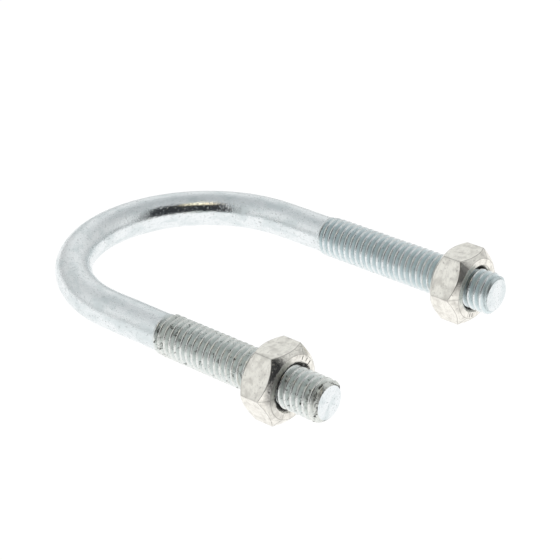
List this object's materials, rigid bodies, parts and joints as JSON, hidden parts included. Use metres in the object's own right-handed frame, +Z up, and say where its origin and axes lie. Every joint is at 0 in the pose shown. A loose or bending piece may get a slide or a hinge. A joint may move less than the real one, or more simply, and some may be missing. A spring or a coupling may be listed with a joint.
{
  "type": "u-bolt with hex nuts",
  "caption": "Zinc-plated round-bend U-bolt for a 32 mm tube, with M6 rolled threads on both legs and a hex nut on each leg.",
  "frame": {"origin": "middle of the length and width, on the surface that the bolt lies on (the lower flats of both nuts)", "axes": "+X along the legs from the bend to the threaded ends, +Y across the legs towards the left leg, +Z up, at right angles to the plane of the bend"},
  "size_m": [0.06, 0.0488, 0.01],
  "materials": {
    "zinc_rod": "bright zinc plate, slightly blue, satin, with fine mottling",
    "zinc_nut": "zinc plate, slightly warm, satin"
  },
  "bodies": {
    "bolt": {"u_bolt": "zinc_rod"},
    "right_nut_seat": {"right_nut_bearing_face": "zinc_nut"},
    "right_nut": {"right_nut": "zinc_nut"},
    "left_nut_seat": {"left_nut_bearing_face": "zinc_nut"},
    "left_nut": {"left_nut": "zinc_nut"}
  },
  "joints": [
    {"name": "right_nut_travel", "type": "slide", "parent": "bolt", "child": "right_nut_seat", "axis": [1, 0, 0], "range_m": [-0.015, 0.009]},
    {"name": "right_nut_turn", "type": "hinge", "parent": "right_nut_seat", "child": "right_nut", "pos_m": [0.019, -0.01868, 0.005], "axis": [1, 0, 0], "range_deg": [-5436, 3276]},
    {"name": "left_nut_travel", "type": "slide", "parent": "bolt", "child": "left_nut_seat", "axis": [1, 0, 0], "range_m": [-0.02, 0.006]},
    {"name": "left_nut_turn", "type": "hinge", "parent": "left_nut_seat", "child": "left_nut", "pos_m": [0.0217, 0.01868, 0.005], "axis": [1, 0, 0], "range_deg": [-7236, 2196]}
  ],
  "couplings": [
    {"joint": "right_nut_turn", "follows": "right_nut_travel", "rad_per_m": 6283.2},
    {"joint": "left_nut_turn", "follows": "left_nut_travel", "rad_per_m": 6283.2}
  ]
}
